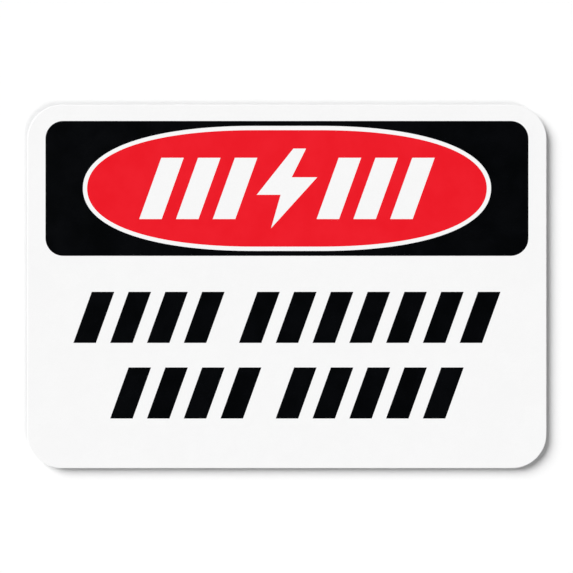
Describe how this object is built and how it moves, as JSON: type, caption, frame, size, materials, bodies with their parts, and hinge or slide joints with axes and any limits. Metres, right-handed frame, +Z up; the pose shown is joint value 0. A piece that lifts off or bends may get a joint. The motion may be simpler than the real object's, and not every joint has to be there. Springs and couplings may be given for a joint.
{
  "type": "high voltage warning sign",
  "caption": "Flat aluminium warning sign with rounded corners, for a wall, door or fence: black header with a red oval in a white ring, over a white face with plain black marks.",
  "frame": {"origin": "middle of the flat back face, where the sign is held against a wall, door or fence", "axes": "+Y out of the back, into the wall; -Y out of the printed face, towards the reader; +X to the reader's right, along the long side; +Z up, along the short side"},
  "size_m": [0.254, 0.001, 0.1778],
  "materials": {
    "bare_sheet": "satin",
    "white_face": "satin",
    "black_print": "satin",
    "red_print": "satin"
  },
  "bodies": {
    "root": {"sign_panel": "bare_sheet"}
  },
  "joints": []
}
